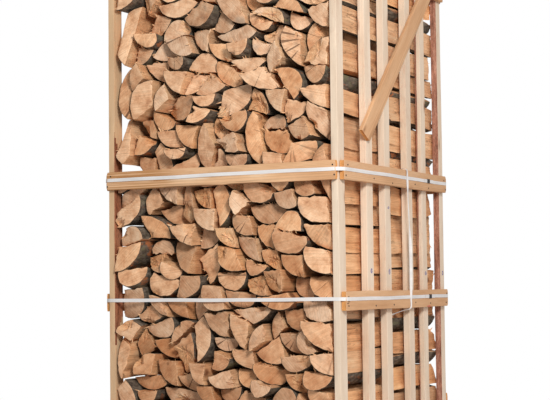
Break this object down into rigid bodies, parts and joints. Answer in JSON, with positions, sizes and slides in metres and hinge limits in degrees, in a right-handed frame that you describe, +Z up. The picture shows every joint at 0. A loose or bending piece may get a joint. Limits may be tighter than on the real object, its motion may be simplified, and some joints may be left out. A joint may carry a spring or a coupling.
{
  "type": "crate of stacked firewood",
  "caption": "Open slatted timber crate on skids, filled with two rows of split firewood and held by packing straps.",
  "frame": {"origin": "on the ground under the middle of the crate", "axes": "+Z up; +X to the right across the front, where the log ends show; +Y from the front to the back"},
  "size_m": [1.1546, 1.1632, 2.09],
  "materials": {
    "slat_timber": "rough",
    "board_timber": "rough",
    "base_timber": "rough",
    "firewood": "rough",
    "strap_plastic": "gloss",
    "fastener_steel": "satin"
  },
  "bodies": {
    "root": {"skid_left": "base_timber", "skid_middle": "base_timber", "skid_right": "base_timber", "deck_board_1": "base_timber", "deck_board_2": "base_timber", "deck_board_3": "base_timber", "deck_board_4": "base_timber", "deck_board_5": "base_timber", "deck_board_6": "base_timber", "deck_board_7": "base_timber", "deck_board_8": "base_timber", "right_post_front": "slat_timber", "right_slat_1": "slat_timber", "right_slat_2": "slat_timber", "right_slat_3": "slat_timber", "right_slat_4": "slat_timber", "right_post_back": "slat_timber", "left_post_front": "slat_timber", "left_slat_1": "slat_timber", "left_slat_2": "slat_timber", "left_slat_3": "slat_timber", "left_slat_4": "slat_timber", "left_post_back": "slat_timber", "right_side_board_base": "board_timber", "right_side_board_lower": "board_timber", "right_side_board_middle": "board_timber", "right_side_board_top": "board_timber", "left_side_board_base": "board_timber", "left_side_board_lower": "board_timber", "left_side_board_middle": "board_timber", "left_side_board_top": "board_timber", "right_brace": "board_timber", "left_brace": "board_timber", "front_board_base": "board_timber", "front_board_middle": "board_timber", "front_board_top": "board_timber", "back_board_base": "board_timber", "back_board_middle": "board_timber", "back_board_top": "board_timber", "firewood_front_row": "firewood", "firewood_back_row": "firewood", "strap_middle": "strap_plastic", "strap_lower": "strap_plastic", "strap_seal_middle": "fastener_steel", "strap_seal_lower": "fastener_steel", "strap_tie": "strap_plastic"}
  },
  "joints": []
}
